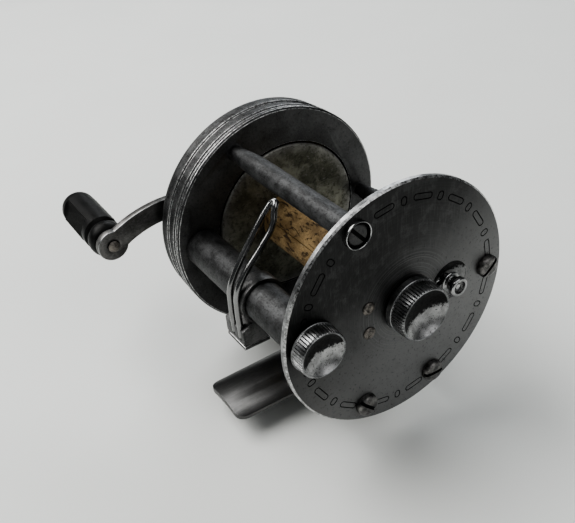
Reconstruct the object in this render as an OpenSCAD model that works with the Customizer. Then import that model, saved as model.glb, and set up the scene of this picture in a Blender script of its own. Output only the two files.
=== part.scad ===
// Level-wind baitcasting reel, direct drive, with a two-grip S-shaped crank.
// +X runs along the spool axis towards the tail plate, -Y is the front (line guide side),
// +Z is away from the rod. The origin lies in the plane of the foot's seat, below the middle of the
// plates' axis.

/* [Frame] */
// Radius of the head ring and the tail plate
plate_r = 26; // [25.5:0.1:26.5]
// Clear distance between the head ring and the tail plate
frame_gap = 40.5; // [40:0.1:41.5]
// Thickness of the tail plate
tail_t = 1.3; // [1.2:0.05:1.4]
// Thickness of the head ring
ring_t = 2.7; // [2.6:0.1:3]
// Depth of the gear housing behind the head ring
cover_depth = 6.8; // [6.8:0.1:7.4]
// Height of the plate centre above the foot's underside
axis_h = 27; // [26.6:0.1:28]
// Radius of the circle that the pillars stand on
pillar_circle_r = 22; // [21.8:0.1:22.2]
// Largest radius of a pillar
pillar_r = 2.35; // [2.2:0.05:2.5]
// Angle of the top pillar from the rear, seen from the tail side
top_angle = 115.6; // [112:0.2:118]
// Angle of the rear pillar
rear_angle = -1.2; // [-4:0.2:2]
// Angle of the lower rear pillar
low_rear_angle = -68.6; // [-70:0.2:-67]
// Angle of the lower front pillar
low_front_angle = -113.8; // [-115:0.2:-112]

/* [Foot] */
// Length of the foot along the rod
foot_len = 57.8; // [56:0.2:60]
// Half width of the foot at its middle
foot_half_w = 7; // [6.8:0.1:7.4]
// Half width of the foot near its ends
foot_end_half_w = 6.7; // [6.4:0.1:6.8]
// Distance of the foot's centre line from the middle of the spool bay, towards the head
foot_offset = 2.3; // [2.2:0.1:2.4]
// Thickness of the foot
foot_t = 1.8; // [1.6:0.1:2]

/* [Spool] */
// Distance of the spool axis behind the plate centre
spool_back = 1.8; // [1.6:0.1:2]
// Radius of the spool flanges
flange_r = 17.4; // [17:0.1:17.6]
// Radius of the cork arbor
cork_r = 6.9; // [6:0.1:8]
// Radius of the spool shaft between the flanges
spool_shaft_r = 2; // [1.9:0.1:2.2]
// Radius of the shaft journals
journal_r = 1.2; // [1.1:0.05:1.25]

/* [Level wind] */
// Distance of the worm axis in front of the plate centre
worm_front = 20.1; // [20:0.05:20.2]
// Height of the worm axis above the plate centre
worm_up = 1; // [0.9:0.05:1.1]
// Outer radius of the worm tube
tube_r = 4.1; // [4:0.05:4.2]
// Radius of the worm
worm_r = 2.6; // [2.5:0.05:2.7]
// Outer radius of the carriage sleeve
sleeve_r = 4.85; // [4.8:0.05:4.9]
// Radius of the guide wire
wire_r = 0.65; // [0.6:0.05:0.7]

/* [Caps and click] */
// Radius of the spool cap
spool_cap_r = 5.9; // [5.7:0.1:6]
// Height of the spool cap
spool_cap_h = 4.9; // [4.7:0.1:5.1]
// Radius of the worm cap
worm_cap_r = 5.05; // [5:0.05:5.1]
// Height of the worm cap
worm_cap_h = 3.3; // [3.2:0.1:3.5]
// Distance of the click button behind the plate centre
click_back = 12.3; // [12.2:0.1:12.4]
// Radius of the dished click cup
cup_r = 4.45; // [4.3:0.05:4.5]

/* [Handle] */
// Distance of the handle shaft below the spool axis
handle_drop = 12; // [12:0.05:12.1]
// Distance from the handle shaft to a grip pin
crank_reach = 39.9; // [38:0.1:42]
// Radius of the arc that each half of the crank follows
crank_bow_r = 25; // [24:0.5:30]
// Width of the crank arm
crank_w = 5; // [4.8:0.1:5.4]
// Thickness of the crank arm
crank_t = 1.7; // [1.5:0.1:1.9]
// Direction of the front grip from the handle shaft at rest
crank_angle = 160.3; // [155:0.5:165]
// Radius of a grip
grip_r = 4.1; // [4:0.1:4.3]
// Length of a grip
grip_len = 21.9; // [20:0.1:24]

/* [Gears] */
// Gear module
gear_m = 0.5; // [0.5:0.01:0.5]
// Teeth on the drive gear
drive_teeth = 36; // [36:1:36]
// Teeth on the spool pinion
pinion_teeth = 12; // [12:1:12]
// Teeth on the idler gear
idler_teeth = 32; // [32:1:32]
// Teeth on the worm gear
worm_teeth = 14; // [14:1:14]

/* [Hidden] */
$fn = 96;

nickel = "#9a9a98";
dark_nickel = "#5c5b58";
bright = "#c9cac8";
brass_tone = "#a88a4e";
steel = "#8b8d90";
cork_tone = "#9c7643";
black_tone = "#1b1a1a";

xh = -frame_gap / 2;                 // inner face of the head ring
xr = xh - ring_t;                    // back of the head ring
xc = xr - cover_depth;               // outer face of the gear housing
xt = frame_gap / 2;                  // inner face of the tail plate
xo = xt + tail_t;                    // outer face of the tail plate
spool_at = [spool_back, axis_h];
worm_at = [-worm_front, axis_h + worm_up];
handle_at = [spool_back, axis_h - handle_drop];
cover_wall = 1.1;
cover_r = plate_r - 0.45;
cover_inner_x = xc + 1.2;            // inner face of the housing's end wall
gear_x = xr - 3.9;                   // head-side face of the gears
gear_t = 2;
flange_t = 0.9;
head_flange_x = xh + 0.55;           // inner face of the head flange
tail_flange_x = xt - 2.95;           // inner face of the tail flange
crank_x = xc - 4.45;                 // outer face of the crank arm
boss_r = 3.5;
rivet_r = 1.45;
pin_fit = 0.06;
screw_r = 1.1;
head_r = 2.4;
slot_w = 0.7;
guide_at = 2.15;                     // middle of the guide wires along X at rest
pawl_x = 1.9;
carriage_x = [-2, 5];                // ends of the carriage block along X at rest
sleeve_x = [1.5, 5];                 // ends of the carriage sleeve along X at rest
guide_gap = 2.5;                     // spacing of the two guide wires
guide_y = -25.1;                     // front of the two upright wires
guide_bend = [[guide_y, 2.8], [-24.4, 5], [-23.2, 7]];
guide_top = [-13.4, 18.9];           // the hairpin at the top
guide_foot_z = -6.4;
half_len = foot_len / 2;
foot_x = -foot_offset;                // centre line of the foot along X
foot_screw_x = 2;                    // foot screws, from that line
cork_tilt = -22;                     // lean of the seam between the cork halves
crank_flat = 1.4;                    // half distance between the flats that drive the crank
rivet_places = [[-7.5, axis_h + 2.87], [-7.5, axis_h - 2.87]];
cover_post_angles = [50, 158, 312];

// Gear phases follow from the centres, so that every pair is in mesh at rest.
function heading(a, b) = atan2(b[1] - a[1], b[0] - a[0]);
function mesh_turn(turn, za, zb, dir) = dir + 180 - (turn - dir) * za / zb - 180 / zb;
idler_reach = gear_m * (pinion_teeth + idler_teeth) / 2;
idler_far = gear_m * (worm_teeth + idler_teeth) / 2;
worm_dist = norm(worm_at - spool_at);
idler_bend = acos((idler_reach ^ 2 + worm_dist ^ 2 - idler_far ^ 2) / (2 * idler_reach * worm_dist));
idler_dir = heading(spool_at, worm_at) - idler_bend;
idler_at = spool_at + idler_reach * [cos(idler_dir), sin(idler_dir)];
pinion_turn = mesh_turn(0, drive_teeth, pinion_teeth, heading(handle_at, spool_at));
idler_turn = mesh_turn(pinion_turn, pinion_teeth, idler_teeth, idler_dir);
worm_turn = mesh_turn(idler_turn, idler_teeth, worm_teeth, heading(idler_at, worm_at));

// Places a shape drawn in (Y, Z) and extruded along +X from x to x + length.
module along_x(x, length) {
    translate([x, 0, 0]) rotate([90, 0, 90]) linear_extrude(length) children();
}

// Places a turned profile, drawn as [radius, x], around the X axis through at = [y, z].
module turned(at, profile) {
    translate([0, at[0], at[1]]) rotate([0, 90, 0]) rotate_extrude() polygon(profile);
}

// A plain rod or disc along X from x to x + length.
module rod(at, r, x, length) {
    translate([x, at[0], at[1]]) rotate([0, 90, 0]) cylinder(h = length, r = r);
}

function on_circle(angle) = [pillar_circle_r * cos(angle), axis_h + pillar_circle_r * sin(angle)];
pillar_angles = [top_angle, rear_angle, low_rear_angle, low_front_angle];

// Outline of a spur gear with straight-sided teeth.
function gear_outline(teeth, turn) = let (r = gear_m * teeth / 2, p = 360 / teeth) [
    for (i = [0 : teeth - 1]) for (q = [[-0.31, -0.62], [-0.11, 0.42], [0.11, 0.42], [0.31, -0.62]])
        let (a = turn + p * (i + q[0]), rr = r + gear_m * q[1]) [rr * cos(a), rr * sin(a)]];

module gear(at, teeth, turn, x, length) {
    along_x(x, length) translate(at) polygon(gear_outline(teeth, turn));
}

// Outline of a knurled edge: flats and narrow grooves.
function knurl_outline(r, count, depth) = [
    for (i = [0 : count - 1]) for (q = [[-0.36, 0], [0.36, 0], [0.5, -depth]])
        let (a = 360 / count * (i + q[0]), rr = r + q[1]) [rr * cos(a), rr * sin(a)]];

// A slotted screw head whose crown faces +X, standing on x.
module slotted_head(at, r, x, h, turn) {
    difference() {
        turned(at, [[0, x], [r, x], [r, x + h * 0.55], [r * 0.8, x + h * 0.9], [0, x + h]]);
        translate([x + h * 0.5, at[0], at[1]]) rotate([turn, 0, 0])
            translate([0, -r * 1.1, -slot_w / 2]) cube([h, r * 2.2, slot_w]);
    }
}

module pillar(angle) {
    turned(on_circle(angle), [[0, xh], [1.15, xh], [1.4, xh + 1.6], [1.75, xh + 4.3], [2.1, xh + 7.5],
        [pillar_r, xh + 11.5], [pillar_r, xt - 0.7], [pillar_r - 0.25, xt], [0, xt]]);
}

module head_ring() {
    color(dark_nickel) difference() {
        turned([0, axis_h], [[0, xh], [plate_r - 0.4, xh], [plate_r, xh - 0.4], [plate_r, xh - 0.8],
            [plate_r - 0.35, xh - 0.95], [plate_r - 0.35, xh - 1.1], [plate_r - 0.08, xh - 1.3],
            [plate_r - 0.08, xh - 1.6], [plate_r - 0.35, xh - 1.8], [plate_r - 0.35, xh - 1.95],
            [plate_r, xh - 2.15], [plate_r, xr + 0.15], [plate_r - 0.15, xr], [0, xr]]);
        rod(spool_at, flange_r + 0.4, xr - 1, ring_t + 2);
        rod(worm_at, 2.6, xr - 1, ring_t + 2);
        for (a = pillar_angles) {
            rod(on_circle(a), screw_r + 0.1, xr - 1, ring_t + 2);
            rod(on_circle(a), 2.1, xr - 1, 2.3);
        }
    }
}

module head_cover() {
    flute_x = xr - 2.6;
    color(nickel) difference() {
        turned([0, axis_h], [[0, xr], [cover_r - 0.1, xr], [cover_r - 0.1, flute_x],
            [cover_r + 0.3, flute_x - 0.15], [cover_r + 0.3, flute_x - 0.55], [cover_r, flute_x - 0.7],
            [cover_r, xc + 2.2], [cover_r + 0.15, xc + 1.9], [cover_r + 0.15, xc + 1.2],
            [cover_r - 0.15, xc + 0.6], [cover_r - 0.9, xc + 0.1], [cover_r - 1.6, xc], [0, xc]]);
        rod([0, axis_h], cover_r - cover_wall, cover_inner_x, 20);
        rod(spool_at, 2.6, xc - 1, 4);
        rod(handle_at, 3.2, xc - 1, 4);
        for (a = cover_post_angles) rod(cover_post_at(a), 0.9, xc - 1, 4);
    }
}

function cover_post_at(a) = [21.6 * cos(a), axis_h + 21.6 * sin(a)];

module gear_plate() {
    color(brass_tone) difference() {
        rod([0, axis_h], cover_r - cover_wall - 0.1, xr - 0.9, 0.9);
        rod(spool_at, 2.2, xr - 2, 3);
        rod(worm_at, 1.6, xr - 2, 3);
        rod(handle_at, journal_r + pin_fit, xr - 2, 3);
        rod(idler_at, 1, xr - 2, 3);
    }
}

module cover_posts() {
    color(brass_tone) for (a = cover_post_angles) difference() {
        rod(cover_post_at(a), 1.6, cover_inner_x, xr - 0.9 - cover_inner_x);
        rod(cover_post_at(a), 0.8, cover_inner_x - 1, 3.6);
    }
}

module cover_screws() {
    color(nickel) for (a = cover_post_angles) {
        mirror([1, 0, 0]) slotted_head(cover_post_at(a), 1.9, -xc, 0.9, a);
        rod(cover_post_at(a), 0.8, xc, 3.4);
    }
}

module ring_screws() {
    color(steel) for (a = pillar_angles) {
        mirror([1, 0, 0]) slotted_head(on_circle(a), 2, -(xr + 1.25), 1.1, a);
        rod(on_circle(a), screw_r, xr + 1.25, 4.5);
    }
}

// Closed outline with round ends, length l and width w, along the first axis.
module long_slot(l, w) {
    square([l - w, w], center = true);
    for (s = [-1, 1]) translate([s * (l - w) / 2, 0]) circle(d = w);
}

// A shallow engraved outline of one border mark.
module border_mark(l, w) {
    line = 0.22;
    difference() {
        long_slot(l, w);
        long_slot(l - 2 * line, w - 2 * line);
    }
}

module border() {
    step = 22.5;
    start = 8.9;
    mark_r = 22.3;
    depth = 0.14;
    screw_gap = 2.3;
    cap_gap = 4.4;
    along_x(xo - depth, 1) translate([0, axis_h]) for (i = [0 : 15], half = [0, 1]) {
        a = start + step * (i + half / 2);
        at = mark_r * [cos(a), sin(a)];
        gaps = [for (p = pillar_angles) norm(at - pillar_circle_r * [cos(p), sin(p)])];
        if (min(gaps) > screw_gap && norm(at - [-worm_front, worm_up]) > cap_gap)
            translate(at) rotate(a + (half == 0 ? 90 : 0)) border_mark(half == 0 ? 4.5 : 1.9, 1.4);
    }
}

module tail_plate() {
    color(dark_nickel) difference() {
        turned([0, axis_h], [[0, xt], [plate_r - 0.15, xt], [plate_r, xt + 0.15], [plate_r, xo - 0.35],
            [plate_r - 0.35, xo], [0, xo]]);
        rod(spool_at, 3.4, xt - 1, 4);
        rod(worm_at, 2.9, xt - 1, 4);
        rod([click_back, axis_h], cup_r, xt - 1, 4);
        for (a = pillar_angles) rod(on_circle(a), screw_r + 0.1, xt - 1, 4);
        for (p = rivet_places) rod(p, 0.8, xt - 1, 4);
        border();
    }
}

module top_pillar() { color(nickel) drilled_pillar(top_angle); }
module rear_pillar() { color(nickel) drilled_pillar(rear_angle); }
module lower_rear_pillar() { color(nickel) saddle_pillar(low_rear_angle); }
module lower_front_pillar() { color(nickel) saddle_pillar(low_front_angle); }

// A pillar with blind holes for its two end screws.
module drilled_pillar(angle) {
    difference() {
        pillar(angle);
        rod(on_circle(angle), screw_r, xh - 1, 4.25);
        rod(on_circle(angle), screw_r, xt - 4, 6);
    }
}

// A pillar that also takes a foot screw from below.
module saddle_pillar(angle) {
    at = on_circle(angle);
    difference() {
        drilled_pillar(angle);
        translate([foot_x + foot_screw_x, at[0], at[1] - 4]) cylinder(h = 3.7, r = screw_r);
    }
}

module foot() {
    end_r = 2.2;
    side = [[foot_half_w, 9], [foot_end_half_w, half_len - end_r - 0.6]];
    color(bright) translate([foot_x, 0, 0]) difference() {
        intersection() {
            linear_extrude(foot_t) union() {
                polygon(concat(side, [for (i = [1 : -1 : 0]) [-side[i][0], side[i][1]]],
                    [for (p = side) [-p[0], -p[1]]], [for (i = [1 : -1 : 0]) [side[i][0], -side[i][1]]]));
                for (s = [-1, 1]) {
                    for (t = [-1, 1]) translate([t * (foot_end_half_w - end_r), s * (half_len - end_r)])
                        circle(r = end_r);
                    translate([-foot_end_half_w + end_r, s > 0 ? half_len - 2 * end_r : -half_len])
                        square([2 * (foot_end_half_w - end_r), 2 * end_r]);
                    translate([-foot_end_half_w, s > 0 ? half_len - 3.2 : -half_len + end_r])
                        square([2 * foot_end_half_w, 1]);
                }
            }
            translate([0, -half_len, foot_t - 22]) rotate([-90, 0, 0])
                cylinder(h = foot_len, r = 22, $fn = 200);
        }
        for (s = [0, 1]) mirror([0, s, 0]) translate([0, 12, -21.55]) rotate([-90, 0, 0])
            cylinder(h = 30, r = 22, $fn = 200);
        for (a = [low_rear_angle, low_front_angle]) translate([foot_screw_x, on_circle(a)[0], -1]) {
            cylinder(h = 4, r = screw_r + 0.1);
            cylinder(h = 1.9, r = 2.1);
        }
    }
}

module foot_saddle() {
    color(nickel) translate([foot_x, 0, 0]) difference() {
        intersection() {
            translate([foot_screw_x - 4, -11.6, foot_t - 1.05]) cube([8, 22.4, 7.4]);
            translate([foot_screw_x, 0, foot_t]) rotate([90, 0, 0]) linear_extrude(80, center = true)
                polygon([[-3, -1.05], [-4, 1.2], [-4, 5.9], [4, 5.9], [4, 1.2], [3, -1.05]]);
        }
        translate([0, -half_len, foot_t - 22]) rotate([-90, 0, 0])
            cylinder(h = foot_len, r = 22, $fn = 200);
        rod(spool_at, flange_r + 1.2, -12, 24);
        for (a = [low_rear_angle, low_front_angle]) {
            rod(on_circle(a), pillar_r, -12, 24);
            translate([foot_screw_x, on_circle(a)[0], -1]) cylinder(h = 12, r = screw_r + 0.1);
        }
    }
}

module foot_screws() {
    color(steel) for (a = [low_rear_angle, low_front_angle]) {
        at = on_circle(a);
        translate([foot_x + foot_screw_x, at[0], 0.1]) {
            difference() {
                cylinder(h = 0.8, r = 2);
                translate([-3, -slot_w / 2, -1]) cube([6, slot_w, 1.4]);
            }
            cylinder(h = at[1] - 0.4, r = screw_r);
        }
    }
}

module tail_screws() {
    turns = [-50, 42, -2, -45];
    color(dark_nickel) for (i = [0 : 3]) {
        at = on_circle(pillar_angles[i]);
        if (i == 0) slotted_head(at, 2.05, xo, 0.75, turns[i]);
        else slotted_head(at, head_r, xo, 1.45, turns[i]);
        rod(at, screw_r, xt - 3.9, 3.9 + tail_t);
    }
}

module screw_cup() {
    color(bright) turned(on_circle(top_angle),
        [[2.15, xo], [2.75, xo], [2.75, xo + 0.6], [2.5, xo + 0.9], [2.15, xo + 0.9]]);
}

module worm_tube() {
    slot_half = frame_gap / 2 - 3.6;
    color(nickel) difference() {
        turned(worm_at, [[2.95, xh], [tube_r - 0.3, xh], [tube_r, xh + 0.5], [tube_r, xt - 0.5],
            [tube_r - 0.3, xt], [2.95, xt]]);
        translate([-slot_half, worm_at[0] - 1.6, worm_at[1] - 6]) cube([2 * slot_half, 3.2, 6]);
    }
}

// Crossed thread grooves are cut as rings at the thread's pitch.
module worm_shaft() {
    reach = frame_gap / 2 - 2.4;
    groove = [for (i = [0 : 17]) -reach + 2 * reach * i / 18];
    color(steel) union() {
        turned(worm_at, concat([[0, -reach - 1]], [for (g = groove) each [[worm_r, g + 0.2],
            [worm_r, g + 1.1], [worm_r - 0.7, g + 1.35], [worm_r - 0.7, g + 1.75]]],
            [[worm_r, reach], [0, reach]]));
        rod(worm_at, 1.5, xr - 0.9, -reach - xr + 1);
        rod(worm_at, journal_r, gear_x - 0.6, 4);
        rod(worm_at, journal_r, reach - 0.5, xo + 1.8 - reach);
    }
}

module worm_gear() {
    color(brass_tone) difference() {
        gear(worm_at, worm_teeth, worm_turn, gear_x, gear_t);
        rod(worm_at, journal_r, gear_x - 1, gear_t + 2);
    }
}

module idler_gear() {
    color(brass_tone) difference() {
        gear(idler_at, idler_teeth, idler_turn, gear_x, gear_t);
        rod(idler_at, 1.5 + pin_fit, gear_x - 1, gear_t + 2);
        for (a = [0 : 60 : 300]) rod(idler_at + 4.6 * [cos(a), sin(a)], 1.5, gear_x - 1, gear_t + 2);
    }
}

module idler_stud() {
    color(steel) union() {
        rod(idler_at, 1, xr - 0.9, 0.9);
        rod(idler_at, 1.9, xr - 1.6, 0.7);
        rod(idler_at, 1.5, gear_x - 0.3, xr - 1.5 - gear_x);
        rod(idler_at, 2.1, gear_x - 0.9, 0.6);
    }
}

module carriage() {
    x0 = carriage_x[0];
    x1 = carriage_x[1];
    zt = axis_h;
    color(nickel) difference() {
        union() {
            rod(worm_at, sleeve_r, sleeve_x[0], sleeve_x[1] - sleeve_x[0]);
            along_x(x0, x1 - x0) polygon([[-25.5, zt - 4.3], [-25.5, zt - 7.6], [-25.1, zt - 7.6],
                [-25.1, zt - 7.9], [-20.1, zt - 7.9], [-19.7, zt - 7.6], [-19.7, zt - 2.9],
                [-23.1, zt - 2.9]]);
        }
        rod(worm_at, tube_r + pin_fit, -12, 24);
        translate([pawl_x, worm_at[0], zt - 12]) cylinder(h = 12, r = 1.5 + 0.02);
        for (s = [-1, 1]) translate([guide_at + s * guide_gap / 2, guide_y, zt - 7])
            cylinder(h = 11, r = wire_r + 0.04);
    }
}

// One straight length of wire between two points, with a round end at the second one.
module wire_piece(a, b) {
    v = b - a;
    len = norm(v);
    translate(a) rotate([0, acos(v[2] / len), atan2(v[1], v[0])]) cylinder(h = len, r = wire_r);
    translate(b) sphere(r = wire_r + 0.02);
}

// A place on a guide wire: x along the spool, then [y, height above the plate centre].
function on_wire(x, place) = [x, place[0], axis_h + place[1]];

module line_guide() {
    left = guide_at - guide_gap / 2;
    right = guide_at + guide_gap / 2;
    tip_w = 1.5;
    path = concat([on_wire(left, [guide_y, guide_foot_z])], [for (q = guide_bend) on_wire(left, q)],
        [on_wire(left, [-19.1, 12.7]), on_wire(left, guide_top - [0.4, 0.6]),
            on_wire(left + tip_w / 2, guide_top), on_wire(left + tip_w, guide_top - [0.5, 0.7]),
            on_wire(right - 0.3, [-15, 15.9]), on_wire(right, [-18.4, 12])],
        [for (i = [2 : -1 : 0]) on_wire(right, guide_bend[i])], [on_wire(right, [guide_y, guide_foot_z])]);
    color(bright) for (i = [0 : len(path) - 2]) wire_piece(path[i], path[i + 1]);
}

module pawl() {
    zt = worm_at[1] - worm_r;
    color(brass_tone) union() {
        translate([pawl_x, worm_at[0], axis_h - 7.9]) cylinder(h = 5.2, r = 1.5);
        translate([pawl_x, worm_at[0], axis_h - 3]) cylinder(h = zt - 0.15 - axis_h + 3, r = 1.1);
    }
}

module pawl_plate() {
    color(nickel) along_x(carriage_x[0], carriage_x[1] - carriage_x[0])
        polygon([[-25.5, axis_h - 7.95], [-25.5, axis_h - 8.8], [-19.7, axis_h - 8.8], [-19.7, axis_h - 7.95],
            [-20.1, axis_h - 7.9], [-25.1, axis_h - 7.9]]);
}

module worm_bush() {
    color(nickel) difference() {
        union() {
            rod(worm_at, 2.9, xt - 1.6, 1.6 + tail_t);
            rod(worm_at, 3.6, xo, 1.6);
        }
        rod(worm_at, journal_r + pin_fit, xt - 3, 8);
    }
}

// A knurled cap with a smooth skirt, a dished end and a bore over its bush.
module knurled_cap(at, r, x, h, skirt, bore_r, bore_h, count, dish) {
    rim = 0.35;
    dish_r = r - 0.8;
    difference() {
        union() {
            rod(at, r, x, skirt);
            along_x(x + skirt, h - skirt - rim) translate(at) polygon(knurl_outline(r - 0.1, count, 0.25));
            rod(at, r - 0.45, x + h - rim, rim);
        }
        rod(at, bore_r, x - 1, bore_h + 1);
        turned(at, [[0, x + h - dish], [dish_r * 0.6, x + h - dish * 0.7], [dish_r, x + h - 0.1],
            [dish_r, x + h + 1], [0, x + h + 1]]);
    }
}

module worm_cap() {
    color(bright) knurled_cap(worm_at, worm_cap_r, xo + 0.5, worm_cap_h, 0.5, 3.6, 1.2, 44, 1.6);
}

module spool_cap() {
    color(bright) knurled_cap(spool_at, spool_cap_r, xo + 0.5, spool_cap_h, 1.5, 4.1, 2.4, 48, 2);
}

module head_cap() {
    color(bright) mirror([1, 0, 0])
        knurled_cap(spool_at, 4.6, -xc + 0.2, 2.3, 0.5, 3, 1.5, 40, 0.4);
}

module tail_bush() {
    color(brass_tone) difference() {
        union() {
            rod(spool_at, 3.4, xt, tail_t);
            rod(spool_at, 4.1, xo, 2.6);
        }
        rod(spool_at, journal_r + pin_fit, xt - 3, 10);
    }
}

module head_bush() {
    color(brass_tone) difference() {
        union() {
            rod(spool_at, 2.6, xc, 1.3);
            rod(spool_at, 3, xc - 1.4, 1.4);
        }
        rod(spool_at, journal_r + pin_fit, xc - 3, 6);
    }
}

module spool_shaft() {
    color(steel) union() {
        rod(spool_at, journal_r, xc - 1.2, xh - xc + 2);
        rod(spool_at, spool_shaft_r, xh - 0.4, frame_gap - 1.9);
        rod(spool_at, journal_r, xt - 2.4, 5.6);
    }
}

// A flange with a rolled edge, whose rim leans outwards by flare; side is 1 at the tail, -1 at the head.
module flange(x, side, flare) {
    t = flange_t + 0.1;
    bend_r = 13.2;
    turned(spool_at, [[spool_shaft_r, x], [bend_r, x], [flange_r - 1.2, x + side * flare],
        [flange_r - 0.3, x + side * (flare + 0.1)], [flange_r, x + side * (flare + 0.35)],
        [flange_r, x + side * (flare + 0.65)], [flange_r - 0.3, x + side * (flare + t - 0.1)],
        [flange_r - 1.2, x + side * (flare + t)], [bend_r, x + side * t], [spool_shaft_r, x + side * t]]);
}

module head_flange() { color(nickel) flange(head_flange_x, -1, 0.1); }
module tail_flange() { color(nickel) flange(tail_flange_x, 1, 1.4); }

// Half of the cork arbor; part is 1 for the upper half, -1 for the lower half.
module cork_half(part) {
    color(cork_tone) difference() {
        rod(spool_at, cork_r, head_flange_x, tail_flange_x - head_flange_x);
        rod(spool_at, spool_shaft_r, xh - 2, frame_gap + 4);
        translate([0, spool_at[0], spool_at[1]]) rotate([cork_tilt, 0, 0])
            translate([-30, -15, part > 0 ? -30 : 0]) cube([60, 30, 30]);
    }
}

module upper_cork() { cork_half(1); }
module lower_cork() { cork_half(-1); }

module line_pin() {
    at = spool_at + 9.2 * [cos(290), sin(290)];
    x = head_flange_x;
    color(bright) turned(at, [[0, x + 0.05], [0.8, x + 0.05], [0.8, x + 0.8], [0.5, x + 1.1], [0, x + 1.1]]);
}

module spool_pinion() {
    color(brass_tone) difference() {
        gear(spool_at, pinion_teeth, pinion_turn, gear_x - 0.4, gear_t + 0.8);
        rod(spool_at, journal_r, gear_x - 2, 6);
    }
}

module click_wheel() {
    x = tail_flange_x + flange_t + 0.1;
    color(steel) difference() {
        along_x(x, 1) translate(spool_at) polygon(knurl_outline(3.4, 16, 0.6));
        rod(spool_at, journal_r, x - 1, 3);
    }
}

module drive_gear() {
    color(brass_tone) difference() {
        gear(handle_at, drive_teeth, 0, gear_x, gear_t);
        rod(handle_at, 2, gear_x - 1, gear_t + 2);
        for (a = [30 : 60 : 330]) rod(handle_at + 5.4 * [cos(a), sin(a)], 1.6, gear_x - 1, gear_t + 2);
    }
}

module handle_shaft() {
    color(steel) difference() {
        union() {
            rod(handle_at, journal_r, xr - 0.9, 0.9);
            rod(handle_at, 2, crank_x - 2.4, xr - 0.9 - crank_x + 2.4);
            rod(handle_at, 3, crank_x + crank_t, xc - 1.6 - crank_x - crank_t);
        }
        for (s = [0, 1]) translate([0, handle_at[0], handle_at[1]]) rotate([s * 180, 0, 0])
            translate([crank_x - 3, -3, crank_flat]) cube([3 + crank_t, 6, 3]);
    }
}

module handle_bush() {
    color(brass_tone) difference() {
        union() {
            rod(handle_at, 3.2, cover_inner_x - 1.2, 1.9);
            rod(handle_at, 4.3, xc - 1.5, 1.5);
        }
        rod(handle_at, 2 + pin_fit, xc - 3, 8);
    }
}

// One bowed half of the crank, from the shaft to a grip boss, in its own plane.
module crank_half() {
    rise = sqrt(crank_bow_r ^ 2 - (crank_reach / 2) ^ 2);
    centre = [crank_reach / 2, rise];
    intersection() {
        translate(centre) difference() {
            circle(r = crank_bow_r + crank_w / 2, $fn = 180);
            circle(r = crank_bow_r - crank_w / 2, $fn = 180);
        }
        polygon([[crank_reach / 2, rise], [-3, -3 * rise / crank_reach * 2], [crank_reach / 2, -40],
            [crank_reach + 3, -3 * rise / crank_reach * 2]]);
    }
    translate([crank_reach, 0]) circle(r = boss_r);
}

module crank_arm() {
    color(dark_nickel) along_x(crank_x, crank_t) translate(handle_at) difference() {
        union() {
            circle(r = 4.6);
            for (s = [0, 180]) rotate(crank_angle + s) crank_half();
        }
        intersection() {
            circle(r = 2);
            square([6, 2 * crank_flat], center = true);
        }
        for (s = [0, 180]) rotate(crank_angle + s) translate([crank_reach, 0]) circle(r = 1.2);
    }
}

module handle_nut() {
    color(nickel) difference() {
        union() {
            rod(handle_at, 4, crank_x - 0.5, 0.5);
            along_x(crank_x - 2.2, 1.8) translate(handle_at) circle(r = 3.9, $fn = 6);
        }
        rod(handle_at, 2, crank_x - 3, 4);
    }
}

grip_x = crank_x - 0.5 - grip_len;
function grip_at(s) = handle_at + crank_reach * [cos(crank_angle + s), sin(crank_angle + s)];

module grip_pins() {
    x = crank_x + crank_t;
    color(steel) for (s = [0, 180]) {
        turned(grip_at(s), [[0, x], [rivet_r, x], [rivet_r, x + 0.25], [0.9, x + 0.55], [0, x + 0.6]]);
        rod(grip_at(s), 1.2, crank_x - 0.01, crank_t + 0.02);
        rod(grip_at(s), 2.2, crank_x - 0.35, 0.35);
        rod(grip_at(s), 1.3, grip_x + 1.2, crank_x - 0.3 - grip_x - 1.2);
        rod(grip_at(s), 2, grip_x + 0.5, 0.8);
    }
}

// A turned grip: a long body, a groove and a collar beside the crank.
module grip(s) {
    x0 = grip_x;
    x1 = grip_x + grip_len;
    color(black_tone) difference() {
        turned(grip_at(s), [[0, x0], [grip_r - 1.5, x0], [grip_r - 0.5, x0 + 0.45], [grip_r, x0 + 1.5],
            [grip_r, x1 - 4.9], [grip_r - 0.9, x1 - 4.4], [grip_r - 0.9, x1 - 3.6], [grip_r, x1 - 3.1],
            [grip_r, x1 - 0.6], [grip_r - 0.6, x1], [0, x1]]);
        rod(grip_at(s), 1.3 + pin_fit, x0 - 1, grip_len + 2);
        rod(grip_at(s), 2 + 0.1, x0 - 1, 2.4);
    }
}

module front_grip() { grip(0); }
module rear_grip() { grip(180); }

// A deep conical dish let into the tail plate, with a slot for the button's stem.
module click_cup() {
    slot_len = 3.9;
    slot_shift = 0.75;
    at = [click_back, axis_h];
    color(bright) difference() {
        rod(at, cup_r, xt - 0.35, tail_t + 0.4);
        turned(at, [[0, xo - 1.25], [1.7, xo - 1.25], [cup_r - 0.2, xo - 0.05], [cup_r - 0.2, xo + 1],
            [0, xo + 1]]);
        along_x(xt - 2, 4) translate(at - [slot_shift, 0]) long_slot(slot_len, 2.3);
    }
}

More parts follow.
